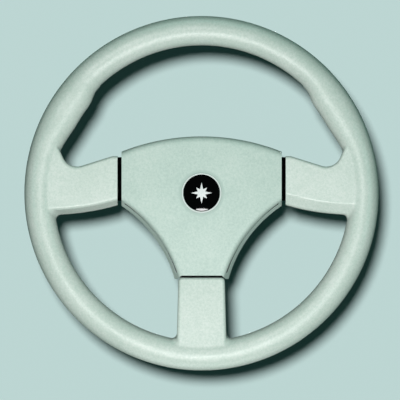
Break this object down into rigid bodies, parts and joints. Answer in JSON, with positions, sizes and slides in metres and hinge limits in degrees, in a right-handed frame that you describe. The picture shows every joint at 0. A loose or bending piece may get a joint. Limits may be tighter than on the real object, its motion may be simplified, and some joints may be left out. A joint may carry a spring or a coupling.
{
  "type": "boat steering wheel",
  "caption": "Soft-grip boat steering wheel with thumb rests, three spokes, a push-fit centre pad and a tapered keyed hub for a helm shaft.",
  "frame": {"origin": "centre of the hub boss's rear face, where the tapered bore is widest", "axes": "+Y along the wheel axis towards the helm, so the driver's side faces -Y; +Z towards twelve o'clock of the rim; +X to the driver's right"},
  "size_m": [0.35, 0.0765, 0.35],
  "materials": {
    "soft_grip": "satin, fine leather grain",
    "soft_pad": "satin, fine leather grain",
    "core_steel": "satin black paint",
    "boss_aluminium": "turned",
    "screw_steel": "bright",
    "carrier_plastic": "matt",
    "grommet_rubber": "matt",
    "badge_plastic": "gloss",
    "clip_steel": "bright"
  },
  "bodies": {
    "root": {"rim_grip": "soft_grip", "core_ring": "core_steel", "spoke_arm_right": "core_steel", "spoke_arm_left": "core_steel", "spoke_arm_bottom": "core_steel", "hub_plate": "core_steel", "hub_boss": "boss_aluminium", "hub_screws": "screw_steel", "hub_lock_washers": "screw_steel", "centre_pad": "soft_pad", "pad_carrier": "carrier_plastic", "pad_grommet_1": "grommet_rubber", "pad_grommet_2": "grommet_rubber", "pad_grommet_3": "grommet_rubber", "badge_cap": "badge_plastic", "badge_clip": "clip_steel"}
  },
  "joints": []
}
